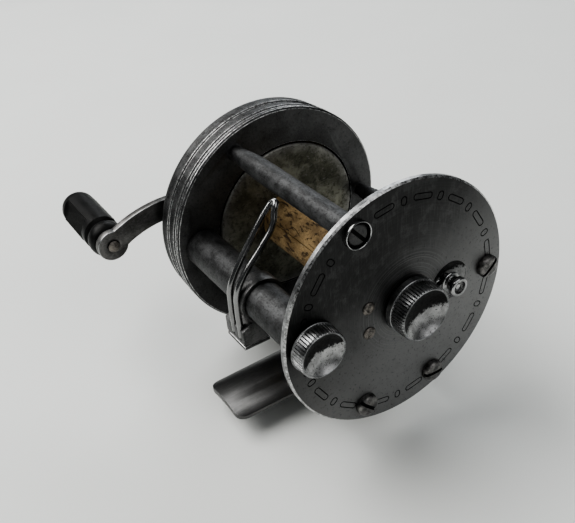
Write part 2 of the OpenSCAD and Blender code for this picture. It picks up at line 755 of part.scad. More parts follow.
// The button stands on a stem that slides in the cup's slot and carries a pivot for the tongue.
module click_button() {
    at = [click_back, axis_h];
    color(bright) difference() {
        turned(at, [[0, xt - 1.35], [0.7, xt - 1.35], [0.7, xt - 0.7], [1.8, xt - 0.7], [1.8, xt - 0.5],
            [1.05, xt - 0.5], [1.05, xo - 0.1], [2.2, xo + 0.2], [2.2, xo + 0.5], [1.5, xo + 0.8],
            [1.4, xo + 1.6], [2.08, xo + 1.9], [2.08, xo + 2.7], [1.85, xo + 2.95], [0, xo + 2.95]]);
        rod(at, 1.35, xo + 2.2, 3);
    }
    color(bright) turned(at, [[0, xo + 2.1], [0.75, xo + 2.1], [0.6, xo + 2.5], [0, xo + 2.55]]);
}

module click_tongue() {
    at = [click_back, axis_h];
    color(steel) difference() {
        along_x(xt - 1.3, 0.5) translate(at) union() {
            circle(r = 1.7);
            polygon([[0, 1.3], [-5.6, 0.25], [-5.6, -0.25], [0, -1.3]]);
        }
        rod(at, 0.7 + pin_fit, xt - 3, 3);
    }
}

// A flat wire spring held by the two rivets, bowed towards the tongue.
module click_spring() {
    y = rivet_places[0][0];
    color(steel) along_x(xt - 0.6, 0.5) translate([y, axis_h]) difference() {
        union() {
            for (s = [-1, 1]) translate([0, s * 2.87]) circle(r = 1.5);
            translate([-1.9, -2.87]) square([0.5, 5.74]);
            for (s = [-1, 1]) translate([-1.9, s * 2.87 - 0.25]) square([1.2, 0.5]);
        }
        for (s = [-1, 1]) translate([0, s * 2.87]) circle(r = 0.8);
    }
}

module click_rivets() {
    color(nickel) for (p = rivet_places) {
        turned(p, [[0, xt - 0.75], [0.8, xt - 0.75], [0.8, xo], [1.35, xo], [1.35, xo + 0.18],
            [0.95, xo + 0.45], [0.55, xo + 0.45], [0.45, xo + 0.3], [0, xo + 0.3]]);
    }
}

head_ring();
head_cover();
gear_plate();
tail_plate();
top_pillar();
rear_pillar();
lower_rear_pillar();
lower_front_pillar();
foot();
foot_saddle();
foot_screws();
tail_screws();
screw_cup();
ring_screws();
cover_screws();
cover_posts();
worm_tube();
worm_shaft();
worm_gear();
idler_gear();
idler_stud();
carriage();
pawl();
pawl_plate();
line_guide();
worm_bush();
worm_cap();
spool_shaft();
head_flange();
tail_flange();
upper_cork();
lower_cork();
line_pin();
spool_pinion();
head_bush();
tail_bush();
spool_cap();
head_cap();
drive_gear();
handle_shaft();
handle_bush();
crank_arm();
handle_nut();
grip_pins();
front_grip();
rear_grip();
click_cup();
click_button();
click_tongue();
click_spring();
click_rivets();
click_wheel();
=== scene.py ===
# %% [markdown]
# # A level-wind baitcasting reel
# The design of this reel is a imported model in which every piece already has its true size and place.
# This lesson gives it its looks: worn nickel plate, cork, hard rubber and polished wire. Blender works
# in metres here, in the same frame as the design, so a piece goes where the design says.

# %% Load the frame
import math

import bmesh
import bpy
from mathutils import Matrix, Vector


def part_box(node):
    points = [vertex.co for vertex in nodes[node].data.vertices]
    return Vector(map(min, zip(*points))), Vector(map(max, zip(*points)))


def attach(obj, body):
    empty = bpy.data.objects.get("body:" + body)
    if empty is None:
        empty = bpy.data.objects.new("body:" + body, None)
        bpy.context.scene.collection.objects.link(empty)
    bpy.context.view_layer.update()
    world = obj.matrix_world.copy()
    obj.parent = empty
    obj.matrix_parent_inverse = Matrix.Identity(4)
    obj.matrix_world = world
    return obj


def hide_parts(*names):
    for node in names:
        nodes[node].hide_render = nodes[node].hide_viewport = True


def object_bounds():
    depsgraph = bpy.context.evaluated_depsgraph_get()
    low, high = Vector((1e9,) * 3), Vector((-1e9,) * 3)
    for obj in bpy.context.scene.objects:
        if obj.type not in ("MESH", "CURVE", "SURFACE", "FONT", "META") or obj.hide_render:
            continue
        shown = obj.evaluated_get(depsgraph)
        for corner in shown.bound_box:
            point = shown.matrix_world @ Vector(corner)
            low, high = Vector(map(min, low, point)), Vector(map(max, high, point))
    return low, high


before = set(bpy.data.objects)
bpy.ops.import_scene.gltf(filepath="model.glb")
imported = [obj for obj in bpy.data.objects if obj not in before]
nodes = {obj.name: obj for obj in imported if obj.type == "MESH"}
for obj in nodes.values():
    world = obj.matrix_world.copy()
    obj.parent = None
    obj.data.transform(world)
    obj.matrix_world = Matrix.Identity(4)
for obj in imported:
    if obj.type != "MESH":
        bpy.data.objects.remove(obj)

cad_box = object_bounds()

# %% [markdown]
# The places of the main axes come from the boxes of the design's own nodes. An axis that runs along X is
# kept as its (y, z) place, because nearly everything on a reel is turned round such a line.

# %% Main places and axes
MM = 0.001


def axis_of(node):
    """Returns the (y, z) place of the X axis that a turned node sits on."""
    low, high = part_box(node)
    middle = (low + high) / 2
    return middle.y, middle.z


def span_of(node):
    """Returns where a node starts and ends along X."""
    low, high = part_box(node)
    return low.x, high.x


plate_axis = axis_of("tail_plate")
spool_axis = axis_of("spool_shaft")
worm_axis = axis_of("worm_shaft")
click_axis = axis_of("click_cup")
inner_tail, outer_tail = span_of("tail_plate")
plate_r = (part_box("tail_plate")[1].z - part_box("tail_plate")[0].z) / 2
inner_head = span_of("top_pillar")[0]
print("plate radius", round(plate_r / MM, 2), "mm, gap", round((inner_tail - inner_head) / MM, 2), "mm")

# %% [markdown]
# ## The camera
# The camera looks down on the tail plate from its front corner. Three directions fix how it is held:
# back, from the reel to the camera, and the camera's own up and right. A long lens keeps the
# perspective mild.

# %% Camera
CAMERA_PLACE = Vector((0.11212, -0.07488, 0.11757))
CAMERA_BACK = Vector((0.72084, -0.40973, 0.55902)).normalized()
CAMERA_UP_HINT = Vector((-0.43314, 0.36336, 0.82484))
LENS_MM = 48.67
SENSOR_MM = 36.0

bpy.ops.object.camera_add()
camera = bpy.context.object
camera.name = "camera"
right = CAMERA_UP_HINT.cross(CAMERA_BACK).normalized()
up = CAMERA_BACK.cross(right)
turn = Matrix((right, up, CAMERA_BACK)).transposed().to_4x4()
camera.matrix_world = Matrix.Translation(CAMERA_PLACE) @ turn
camera.data.lens = LENS_MM
camera.data.sensor_fit = "HORIZONTAL"
camera.data.sensor_width = SENSOR_MM
camera.data.clip_start = 0.005
camera.data.clip_end = 20.0
bpy.context.scene.camera = camera
print("camera is", round((CAMERA_PLACE - Vector((0, 0, plate_axis[1]))).length / MM),
      "mm from the plates' centre")

# %% [markdown]
# ## Shader arithmetic
# A finish is a network of nodes, and most of it is arithmetic. `Signal` wraps a socket so that an
# expression such as `base - mask * 0.4` adds its own Math nodes. `Finish` holds one material, and its
# `node` method adds any other node: first the settings, then the values or links of its sockets.

# %% Signals and finishes
class Signal:
    """A socket that can be added, multiplied and compared like a number."""

    def __init__(self, finish, socket):
        self.finish = finish
        self.socket = socket

    def math(self, operation, first, second=0.0):
        return self.finish.node("ShaderNodeMath", {"operation": operation}, {0: first, 1: second})

    def __add__(self, other):
        return self.math("ADD", self, other)

    def __sub__(self, other):
        return self.math("SUBTRACT", self, other)

    def __mul__(self, other):
        return self.math("MULTIPLY", self, other)

    def __pow__(self, other):
        return self.math("POWER", self, other)


class Finish:
    """One material, built round a Principled shader."""

    def __init__(self, name, **constants):
        self.material = bpy.data.materials.new(name)
        self.material.use_nodes = True
        self.tree = self.material.node_tree
        self.tree.nodes.clear()
        self.shader = self.tree.nodes.new("ShaderNodeBsdfPrincipled")
        output = self.tree.nodes.new("ShaderNodeOutputMaterial")
        self.tree.links.new(self.shader.outputs[0], output.inputs[0])
        for socket, value in constants.items():
            self.shader.inputs[socket.replace("_", " ")].default_value = value
        self.place = self.node("ShaderNodeTexCoord", {}, {}, "Object")

    def node(self, kind, settings, inputs, output=0):
        made = self.tree.nodes.new(kind)
        for key, value in settings.items():
            setattr(made, key, value)
        for key, value in inputs.items():
            if isinstance(value, Signal):
                self.tree.links.new(value.socket, made.inputs[key])
            else:
                made.inputs[key].default_value = value
        return Signal(self, made.outputs[output])

    def feed(self, **signals):
        for socket, signal in signals.items():
            self.tree.links.new(signal.socket, self.shader.inputs[socket.replace("_", " ")])

    def noise(self, size_mm, detail=4.0, roughness=0.55, place=None, distortion=0.0):
        inputs = {"Vector": place or self.place, "Scale": 1 / (size_mm * MM), "Detail": detail,
                  "Roughness": roughness, "Distortion": distortion}
        return self.node("ShaderNodeTexNoise", {}, inputs)

    def step(self, signal, low, high, start=0.0, end=1.0):
        """A smooth step: start below low, end above high."""
        inputs = {"Value": signal, "From Min": low, "From Max": high, "To Min": start, "To Max": end}
        return self.node("ShaderNodeMapRange", {"interpolation_type": "SMOOTHSTEP"}, inputs)

    def mix(self, mask, first, second):
        """A colour that goes from first to second as the mask goes from 0 to 1."""
        pick = {"data_type": "RGBA", "clamp_factor": True}
        return self.node("ShaderNodeMix", pick, {0: mask, 6: first, 7: second}, 2)

    def stretched(self, x=1.0, y=1.0, z=1.0, centre=(0.0, 0.0, 0.0)):
        """The place vector, moved to a centre and stretched, so that a pattern can become streaks."""
        moved = self.node("ShaderNodeVectorMath", {"operation": "SUBTRACT"}, {0: self.place, 1: centre})
        return self.node("ShaderNodeVectorMath", {"operation": "MULTIPLY"}, {0: moved, 1: (x, y, z)})

    def parts(self, vector):
        made = self.tree.nodes.new("ShaderNodeSeparateXYZ")
        self.tree.links.new(vector.socket, made.inputs[0])
        return [Signal(self, socket) for socket in made.outputs]

    def radius_about(self, centre):
        """How far a point is from the X axis through centre, in millimetres."""
        _, y, z = self.parts(self.stretched(0, 1 / MM, 1 / MM, (0, *centre)))
        return (y * y + z * z) ** 0.5

    def bump(self, height, depth_mm, below=None, strength=1.0):
        inputs = {"Height": height, "Distance": depth_mm * MM, "Strength": strength}
        if below:
            inputs["Normal"] = below
        return self.node("ShaderNodeBump", {}, inputs)


def grey(level, warmth=0.0):
    """A nearly neutral colour: positive warmth tints it brown, negative blue."""
    return (level * (1 + warmth), level, level * (1 - warmth), 1.0)


# %% [markdown]
# ## Aged nickel
# Old nickel plate isn't one grey. It has cloudy tarnish some millimetres across, dark specks where the
# plating has pitted, and fine hairlines from years of handling. Each of these is a noise at its own
# size, and together they steer colour, roughness and a very shallow bump.

# %% Aged metal
def aged_metal(name, dark, light, rough=(0.35, 0.55), cloud_mm=5.0, speck_mm=0.6, specks=0.55,
               pit_mm=0.012, hairlines=(1.0, 1.0, 1.0), hairline_amount=0.35, metallic=1.0, cool=0.0):
    finish = Finish(name, Metallic=metallic)
    clouds = finish.noise(cloud_mm, 5, 0.6)
    grain = finish.noise(speck_mm, 3, 0.7)
    fine = finish.noise(speck_mm * 0.3, 2, 0.6)
    lines = finish.noise(0.16, 2, 0.5, finish.stretched(*hairlines))
    mask = finish.step(clouds, 0.36, 0.66)
    scratch = finish.step(lines, 0.5, 0.72, 0.0, hairline_amount)
    speck = finish.step(grain, 0.52, 0.68, 0.0, specks)
    base = finish.mix(mask, dark, light)
    worn = finish.mix(scratch, base, tuple(min(1.0, c * 1.55) for c in light[:3]) + (1.0,))
    pitted = finish.mix(speck, worn, tuple(c * 0.42 for c in dark[:3]) + (1.0,))
    pitted = finish.mix(finish.step(fine, 0.55, 0.75, 0.0, 0.35), pitted, grey(0.5 * light[1], cool))
    low, high = rough
    gloss = finish.step(grain * 0.5 + clouds * 0.5, 0.35, 0.65, low, high)
    height = clouds * 0.4 + grain * 1.0 + fine * 0.5 - scratch * 0.6
    finish.feed(Base_Color=pitted, Roughness=gloss, Normal=finish.bump(height, pit_mm))
    return finish.material


pillar_nickel = aged_metal("pillar_nickel", grey(0.038, -0.01), grey(0.082, -0.015),
                           rough=(0.48, 0.64), cloud_mm=2.2, speck_mm=0.45, specks=0.6, pit_mm=0.03,
                           hairlines=(0.12, 1.0, 1.0), hairline_amount=0.3)
rim_nickel = aged_metal("rim_nickel", grey(0.03, -0.01), grey(0.08, -0.01), rough=(0.44, 0.6),
                        cloud_mm=3.0, speck_mm=0.8, specks=0.7, pit_mm=0.02,
                        hairlines=(5.0, 0.25, 0.25), hairline_amount=0.95)
ring_face = aged_metal("ring_face", grey(0.06), grey(0.10), rough=(0.46, 0.6), cloud_mm=7.0,
                       speck_mm=0.6, specks=0.4, pit_mm=0.008)
arm_steel = aged_metal("arm_steel", grey(0.07, 0.02), grey(0.15, 0.02), rough=(0.38, 0.52),
                       cloud_mm=5.0, speck_mm=0.5, specks=0.5, pit_mm=0.01,
                       hairlines=(1.0, 0.2, 0.6), hairline_amount=0.3)
screw_steel = aged_metal("screw_steel", grey(0.07, 0.02), grey(0.22, 0.03), rough=(0.3, 0.46),
                         cloud_mm=1.2, speck_mm=0.4, specks=0.5, pit_mm=0.01)
bright_nickel = aged_metal("bright_nickel", grey(0.22), grey(0.46), rough=(0.14, 0.26),
                           cloud_mm=4.0, speck_mm=0.5, specks=0.3, pit_mm=0.003,
                           hairlines=(1.0, 0.15, 1.0), hairline_amount=0.3)
foot_nickel = aged_metal("foot_nickel", grey(0.08), grey(0.13), rough=(0.32, 0.40), cloud_mm=22.0,
                         speck_mm=0.8, specks=0.15, pit_mm=0.002, hairlines=(1.0, 0.06, 1.0),
                         hairline_amount=0.25)
cap_nickel = aged_metal("cap_nickel", grey(0.13, -0.01), grey(0.34, -0.01), rough=(0.28, 0.42),
                        cloud_mm=2.5, speck_mm=0.5, specks=0.5, pit_mm=0.01)
wire_steel = aged_metal("wire_steel", grey(0.16), grey(0.26), rough=(0.16, 0.22), cloud_mm=9.0,
                        speck_mm=0.5, specks=0.1, pit_mm=0.001)
worn_edge = aged_metal("worn_edge", grey(0.18), grey(0.60), rough=(0.22, 0.4), cloud_mm=0.8,
                       speck_mm=0.5, specks=0.75, pit_mm=0.02)
carriage_nickel = aged_metal("carriage_nickel", grey(0.05), grey(0.12), rough=(0.4, 0.54),
                             cloud_mm=3.0, speck_mm=0.5, specks=0.5, pit_mm=0.012)
inner_steel = aged_metal("inner_steel", grey(0.34), grey(0.46), rough=(0.25, 0.36), cloud_mm=3.0,
                         speck_mm=0.5, specks=0.2, pit_mm=0.004, hairlines=(0.1, 1.0, 1.0),
                         hairline_amount=0.3)
brass = aged_metal("brass", (0.32, 0.21, 0.08, 1), (0.62, 0.44, 0.19, 1), rough=(0.25, 0.4),
                   cloud_mm=3.0, speck_mm=0.5, specks=0.35, pit_mm=0.006)
# A much darker copy of brass for the gear plate: painted shade for a part seen only in the gap round the
# flange.
brass_in_painted_shade = aged_metal("brass_in_painted_shade", (0.035, 0.026, 0.014, 1), (0.08, 0.06, 0.03, 1),
                       rough=(0.4, 0.6), cloud_mm=3.0, speck_mm=0.5, specks=0.35, pit_mm=0.01)
rivet_metal = aged_metal("rivet_metal", grey(0.07, 0.06), grey(0.20, 0.10), rough=(0.35, 0.5),
                         cloud_mm=0.9, speck_mm=0.35, specks=0.5, pit_mm=0.02)
# Near black for slots, engraved grooves, gaps and pin edges: painted shade in recesses.
painted_recess_shade = aged_metal("painted_recess_shade", grey(0.008), grey(0.02), rough=(0.6, 0.8), cloud_mm=1.0,
                        speck_mm=0.3, specks=0.3, pit_mm=0.01)
print("aged metals made")

# %% [markdown]
# A dished finish is painted black on its upper part: painted shade for the upper wall, which faces
# down, away from the light. The lower part keeps its polished finish, and the ragged border is a line
# through the dish, blurred by noise. Each dish turns with its own cap, so each gets its own finish
# round its own axis.

# %% Dish finish
def dish_finish(name, axis, border_mm, bright):
    finish = Finish(name, Metallic=1.0)
    _, y, z = finish.parts(finish.stretched(1 / MM, 1 / MM, 1 / MM, (0, *axis)))
    clouds = finish.noise(2.0, 5, 0.65)
    grain = finish.noise(0.5, 4, 0.7)
    # Painted shade: this mask darkens the upper part of the dish to near black.
    painted_upper_shade = finish.step(z * 0.97 - y * 0.24 + (clouds + grain) * 2.4, border_mm + 2.1, border_mm + 2.9)
    speck = finish.step(grain, 0.54, 0.66, 0.0, 0.75)
    base = finish.mix(finish.step(clouds, 0.38, 0.62), grey(bright * 0.6), grey(bright))
    base = finish.mix(speck, base, grey(0.03))
    base = finish.mix(painted_upper_shade * 0.96, base, grey(0.008))
    gloss = finish.step(grain, 0.35, 0.65, 0.26, 0.42) + painted_upper_shade * 0.2
    finish.feed(Base_Color=base, Roughness=gloss, Normal=finish.bump(grain + clouds, 0.015))
    return finish.material


spool_dish = dish_finish("spool_cap_dish", spool_axis, -1.0, 0.36)
worm_dish = dish_finish("worm_cap_dish", worm_axis, -0.4, 0.42)
# The click cup's dish gets a darker base: painted shade, because its deep cone reflects dark.
cup_dish = dish_finish("click_cup_dish", click_axis, 1.2, 0.22)
print("dish finishes made")

# %% [markdown]
# The tail plate is painted darker at the top front and lighter at the lower rear: a painted
# reflection gradient, standing in for the light and shade that the plate mirrors. Fine circular marks
# from the lathe surround the spool cap, and a brushed grain runs up the plate, so the same recipe gets
# three more masks.

# %% Tail plate finish
def tail_plate_finish():
    finish = Finish("tail_plate_nickel", Metallic=1.0)
    across = finish.stretched(1 / MM, 1 / MM, 1 / MM, (0, *plate_axis))
    _, y, z = finish.parts(across)
    radius = finish.radius_about(spool_axis)
    clouds = finish.noise(9.0, 6, 0.62)
    # Painted reflection: darker at the top front, lighter at the lower rear, broken up by clouds.
    painted_reflection_slope = finish.step(y * 0.5 - z * 0.95 + clouds * 18, -8, 26)
    turned_marks = finish.node("ShaderNodeTexNoise", {"noise_dimensions": "1D"},
                               {"W": radius * 2.6, "Scale": 1.0, "Detail": 3.0, "Roughness": 0.7})
    near_cap = finish.step(radius, 8.0, 13.0, 0.8, 0.06)
    brushed = finish.noise(0.22, 3, 0.6, finish.stretched(1, 1, 0.05))
    specks = finish.noise(0.55, 4, 0.7)
    mottle = finish.noise(2.2, 5, 0.7)
    base = finish.mix(painted_reflection_slope, grey(0.026), grey(0.19))
    marks = finish.step(turned_marks, 0.42, 0.7) * near_cap
    base = finish.mix(marks * 0.5 + finish.step(brushed, 0.5, 0.75) * 0.12, base, grey(0.22))
    base = finish.mix(finish.step(mottle, 0.48, 0.68, 0, 0.25), base, grey(0.12))
    base = finish.mix(finish.step(specks, 0.56, 0.70, 0, 0.6), base, grey(0.02))
    gloss = finish.step(clouds + brushed * 0.3, 0.45, 0.85, 0.36, 0.52)
    height = turned_marks * near_cap * 0.3 + brushed * 0.35 + specks * 0.4
    finish.feed(Base_Color=base, Roughness=gloss, Normal=finish.bump(height, 0.012))
    return finish.material


tail_face = tail_plate_finish()

# %% [markdown]
# The spool's flanges carry a greenish-brown bloom from line and lake water. Towards the rolled edge
# they are painted lighter, a painted highlight where the roll catches the light. The mask for the edge
# is the distance from the spool's axis.

# %% Spool flange finish
def flange_finish():
    finish = Finish("flange_patina", Metallic=0.85)
    radius = finish.radius_about(spool_axis)
    clouds = finish.noise(5.5, 6, 0.65, distortion=0.6)
    grain = finish.noise(0.8, 4, 0.7)
    scratches = finish.noise(0.3, 3, 0.6, finish.stretched(1, 0.35, 1))
    base = finish.mix(finish.step(clouds, 0.38, 0.64), (0.07, 0.069, 0.051, 1), (0.21, 0.206, 0.165, 1))
    # Painted highlight: the flange is made lighter towards its rolled edge.
    rim = finish.step(radius + clouds * 4, 16.0, 20.0, 0, 0.65)
    base = finish.mix(rim, base, grey(0.22, 0.02))
    base = finish.mix(finish.step(grain, 0.5, 0.66, 0, 0.6), base, (0.03, 0.028, 0.02, 1))
    base = finish.mix(finish.step(scratches, 0.56, 0.72, 0, 0.5), base, grey(0.26, 0.03))
    gloss = finish.step(grain, 0.35, 0.65, 0.4, 0.6)
    finish.feed(Base_Color=base, Roughness=gloss, Normal=finish.bump(grain + clouds * 0.8, 0.03))
    return finish.material


flange_patina = flange_finish()

# %% [markdown]
# Cork is a mass of tiny cells with dark cracks and woody specks. A Voronoi pattern gives the cells, and
# stretched noise, pushed through a narrow step, gives the cracks, which also sink into the surface.

# %% Cork finish
def cork_finish():
    finish = Finish("cork_skin", Specular_IOR_Level=0.25)
    clouds = finish.noise(3.2, 5, 0.6)
    cells = finish.node("ShaderNodeTexVoronoi", {"feature": "DISTANCE_TO_EDGE"},
                        {"Vector": finish.place, "Scale": 1 / (0.5 * MM)})
    streaks = finish.noise(1.3, 5, 0.7, finish.stretched(0.45, 1.5, 1.0), 0.8)
    specks = finish.noise(0.8, 3, 0.75)
    base = finish.mix(finish.step(clouds, 0.35, 0.65), (0.13, 0.082, 0.034, 1), (0.31, 0.215, 0.105, 1))
    base = finish.mix(finish.step(cells, 0.0, 0.12, 0.4, 0.0), base, (0.06, 0.034, 0.014, 1))
    crack = finish.step(streaks, 0.56, 0.60)
    speck = finish.step(specks, 0.62, 0.68, 0.0, 0.8)
    pale = finish.step(streaks, 0.30, 0.38, 0.55, 0.0)
    base = finish.mix(pale, base, (0.46, 0.37, 0.23, 1))
    base = finish.mix(crack * 0.88, base, (0.022, 0.012, 0.007, 1))
    base = finish.mix(speck, base, (0.03, 0.016, 0.009, 1))
    height = clouds * 0.5 + specks * 0.3 - crack * 1.8 - speck * 1.0 + pale * 0.4
    finish.feed(Base_Color=base, Roughness=finish.step(clouds, 0.3, 0.7, 0.62, 0.85),
                Normal=finish.bump(height, 0.16))
    return finish.material


cork_skin = cork_finish()

# %% [markdown]
# The grips are moulded hard rubber: nearly black, a soft gloss where fingers polish it, with dust in
# the hollows. A fine noise in roughness is what tells rubber from paint.

# %% Hard rubber finish
def rubber_finish(name, dark, light):
    finish = Finish(name, Specular_IOR_Level=0.14)
    clouds = finish.noise(3.5, 4, 0.6)
    grain = finish.noise(0.35, 3, 0.6)
    base = finish.mix(finish.step(clouds, 0.4, 0.7), grey(dark), grey(light))
    base = finish.mix(finish.step(grain, 0.62, 0.72, 0, 0.5), base, (0.02, 0.02, 0.018, 1))
    gloss = finish.step(clouds * 0.6 + grain * 0.4, 0.35, 0.65, 0.34, 0.5)
    finish.feed(Base_Color=base, Roughness=gloss, Normal=finish.bump(grain, 0.02))
    return finish.material


hard_rubber = rubber_finish("hard_rubber", 0.003, 0.007)
# A paler rubber for the rib crests: wear, and a painted highlight along each rib.
worn_rubber_and_highlight = rubber_finish("worn_rubber_and_highlight", 0.005, 0.014)
print("all", len(bpy.data.materials), "finishes made")

# %% [markdown]
# ## Refining a piece of the design
# The design's nodes are exact, but their edges are knife sharp. A real edge is slightly round and worn
# bright. So each visible metal node is copied, its loose triangles are merged and dissolved back to
# clean faces, and a Bevel modifier rounds the edges, which may take a second, brighter finish.

# %% Copy and bevel
def clear_selection():
    bpy.ops.object.select_all(action="DESELECT")


def make_active(piece):
    clear_selection()
    piece.select_set(True)
    bpy.context.view_layer.objects.active = piece


def smooth(piece, degrees=35):
    make_active(piece)
    bpy.ops.object.shade_smooth_by_angle(angle=math.radians(degrees))


def settle(piece, body, slot, *replaced):
    """Says which body a finished piece rides on and hides the nodes that it stands for. The slot is not
    used.
    """
    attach(piece, body)
    if replaced:
        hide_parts(*replaced)


def bevel(piece, width_mm, segments=2, degrees=32, edge_material=-1):
    make_active(piece)
    made = piece.modifiers.new("edge", "BEVEL")
    made.width = width_mm * MM
    made.segments = segments
    made.limit_method = "ANGLE"
    made.angle_limit = math.radians(degrees)
    made.use_clamp_overlap = True
    made.material = edge_material
    bpy.ops.object.modifier_apply(modifier=made.name)


def cleaned_copy(node, name):
    source = nodes[node]
    piece = bpy.data.objects.new(name, source.data.copy())
    bpy.context.scene.collection.objects.link(piece)
    make_active(piece)
    piece.data.materials.clear()
    bpy.ops.object.mode_set(mode="EDIT")
    bpy.ops.mesh.select_all(action="SELECT")
    bpy.ops.mesh.remove_doubles(threshold=0.002 * MM)
    bpy.ops.mesh.customdata_custom_splitnormals_clear()
    bpy.ops.mesh.mark_sharp(clear=True)
    bpy.ops.mesh.dissolve_limited(angle_limit=math.radians(0.6))
    bpy.ops.object.mode_set(mode="OBJECT")
    return piece


def refine(node, body, slot, material, width_mm=0.12, edge=worn_edge, degrees=32):
    piece = cleaned_copy(node, node + "_shaped")
    piece.data.materials.append(material)
    piece.data.materials.append(edge)
    before = len(piece.data.polygons)
    if width_mm:
        bevel(piece, width_mm, 2, degrees, 1)
    smooth(piece)
    settle(piece, body, slot, node)
    print(node, "refined from", before, "to", len(piece.data.polygons), "faces")
    return piece


# %% [markdown]
# ## Nodes that keep their shape
# Inner and small pieces are already right, so they only take a finish. Assigning a material to the
# node's own slot is allowed, because its mesh isn't touched.

# %% Finishes on the design's own nodes
PLAIN = {
    inner_steel: ["worm_shaft", "idler_stud", "spool_shaft", "click_tongue", "click_spring",
                  "click_wheel",
                  "handle_shaft", "ring_screws", "foot_screws"],
    # The gear plate takes the darker brass copy as painted shade.
    brass_in_painted_shade: ["gear_plate"],
    brass: ["worm_gear", "idler_gear", "spool_pinion", "drive_gear", "head_bush", "tail_bush",
            "handle_bush", "cover_posts", "pawl"],
    bright_nickel: ["line_pin"],
    pillar_nickel: ["worm_bush"],
}
for material, names in PLAIN.items():
    for name in names:
        nodes[name].data.materials.clear()
        nodes[name].data.materials.append(material)
print(sum(map(len, PLAIN.values())), "nodes keep their shape")

# %% Refined frame and handle
refine("head_cover", "frame", "nickel", rim_nickel, 0.12)
refine("foot", "frame", "polished_nickel", foot_nickel, 0.4)
refine("foot_saddle", "frame", "nickel", pillar_nickel, 0.3)
refine("worm_tube", "frame", "nickel", pillar_nickel, 0.15, pillar_nickel)
refine("crank_arm", "crank", "dark_nickel", arm_steel, 0.18, cap_nickel)
refine("carriage", "carriage", "nickel", carriage_nickel, 0.15)
refine("pawl_plate", "carriage", "nickel", carriage_nickel, 0.12)
refine("cover_screws", "frame", "nickel", screw_steel, 0.12, screw_steel)
refine("click_rivets", "frame", "nickel", rivet_metal, 0.1, rivet_metal)
# The grip pins' bevelled edges are painted black: painted shade round the pins.
refine("grip_pins", "crank", "steel", rivet_metal, 0.12, painted_recess_shade)
refine("handle_nut", "crank", "nickel", arm_steel, 0.2)
cup = refine("click_cup", "frame", "polished_nickel", cup_dish, 0, bright_nickel)
cup_r = (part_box("click_cup")[1].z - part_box("click_cup")[0].z) / 2
for face in cup.data.polygons:
    reach = math.hypot(face.center.y - click_axis[0], face.center.z - click_axis[1])
    face.material_index = 1 if reach > cup_r - 0.3 * MM else 0
refine("click_button", "click_button", "polished_nickel", bright_nickel, 0.1, bright_nickel)
refine("head_flange", "spool", "nickel", flange_patina, 0.15, flange_patina)
refine("tail_flange", "spool", "nickel", flange_patina, 0.15, flange_patina)

# %% [markdown]
# The head ring has a dark face towards the spool and a worn, beaded rim, so its faces are sorted by
# their place: those near the rim take the rim finish. The tail plate's chamfers are worn to bright
# metal.

# %% Head ring and tail plate
def sort_faces(piece, rule):
    """Gives each face the material index that the rule returns for its centre and normal."""
    for face in piece.data.polygons:
        face.material_index = rule(face.center, face.normal)


def from_axis(point, axis):
    return math.hypot(point.y - axis[0], point.z - axis[1])


ring = cleaned_copy("head_ring", "head_ring_shaped")
for material in (ring_face, rim_nickel, worn_edge):
    ring.data.materials.append(material)
sort_faces(ring, lambda c, n: 0 if abs(n.x) > 0.98 else (1 if from_axis(c,
           plate_axis) > 24.5 * MM else 0))
bevel(ring, 0.1, 2, 30, 2)
smooth(ring)
settle(ring, "frame", "dark_nickel", "head_ring")

plate = cleaned_copy("tail_plate", "tail_plate_shaped")
for material in (tail_face, worn_edge, cap_nickel, painted_recess_shade):
    plate.data.materials.append(material)


def plate_part(centre, normal):
    """0 is the face, 1 the worn chamfer, 2 the rim and 3 the engraved grooves, painted black as painted
    shade.
    """
    reach = from_axis(centre, plate_axis)
    below = outer_tail - centre.x
    if reach > plate_r - 0.38 * MM and abs(normal.x) < 0.98:
        return 1 if abs(normal.x) > 0.3 else 2
    engraved = 0.03 * MM < below < 0.2 * MM and 20.5 * MM < reach < 24.5 * MM
    return 3 if engraved else 0


sort_faces(plate, plate_part)
smooth(plate)
settle(plate, "frame", "dark_nickel", "tail_plate")

# %% [markdown]
# ## A lathe
# Most pieces of a reel are turned. This helper works as by hand: it adds a filled circle across the X
# axis, then extrudes it along X and scales it, once for each point of the profile. A filled start and
# end make the piece a closed solid. Columns of a knurl are then pulled in with one more scale.

# %% Turning helpers
def turned(name, axis, profile, steps=96):
    """Turns a closed solid from (x, radius) points in millimetres about the X axis through axis."""
    y, z = axis
    first_x, first_r = profile[0]
    clear_selection()
    bpy.ops.mesh.primitive_circle_add(vertices=steps, radius=first_r * MM, fill_type="NGON",
                                      location=(first_x * MM, y, z), rotation=(0, math.pi / 2, 0))
    piece = bpy.context.object
    piece.name = name
    bpy.ops.object.transform_apply(location=True, rotation=True, scale=True)
    bpy.ops.object.mode_set(mode="EDIT")
    bpy.ops.mesh.select_all(action="SELECT")
    for (x0, r0), (x1, r1) in zip(profile, profile[1:]):
        bpy.ops.mesh.extrude_region_move(TRANSFORM_OT_translate={"value": ((x1 - x0) * MM, 0, 0)})
        bpy.ops.transform.resize(value=(1, r1 / r0, r1 / r0), center_override=(x1 * MM, y, z))
    bpy.ops.mesh.select_all(action="SELECT")
    bpy.ops.mesh.normals_make_consistent(inside=False)
    bpy.ops.object.mode_set(mode="OBJECT")
    return piece


def pick(piece, rule):
    """In edit mode, selects the vertices whose place passes the rule."""
    mesh = bmesh.from_edit_mesh(piece.data)
    for vertex in mesh.verts:
        vertex.select = False
    for edge in mesh.edges:
        edge.select = False
    for face in mesh.faces:
        face.select = False
    for vertex in mesh.verts:
        vertex.select = rule(vertex.co)
    bmesh.update_edit_mesh(piece.data)


def column_of(point, axis, steps):
    """Which column of a turned mesh a point belongs to."""
    angle = math.atan2(point.z - axis[1], point.y - axis[0])
    return round(angle / (2 * math.pi) * steps) % steps


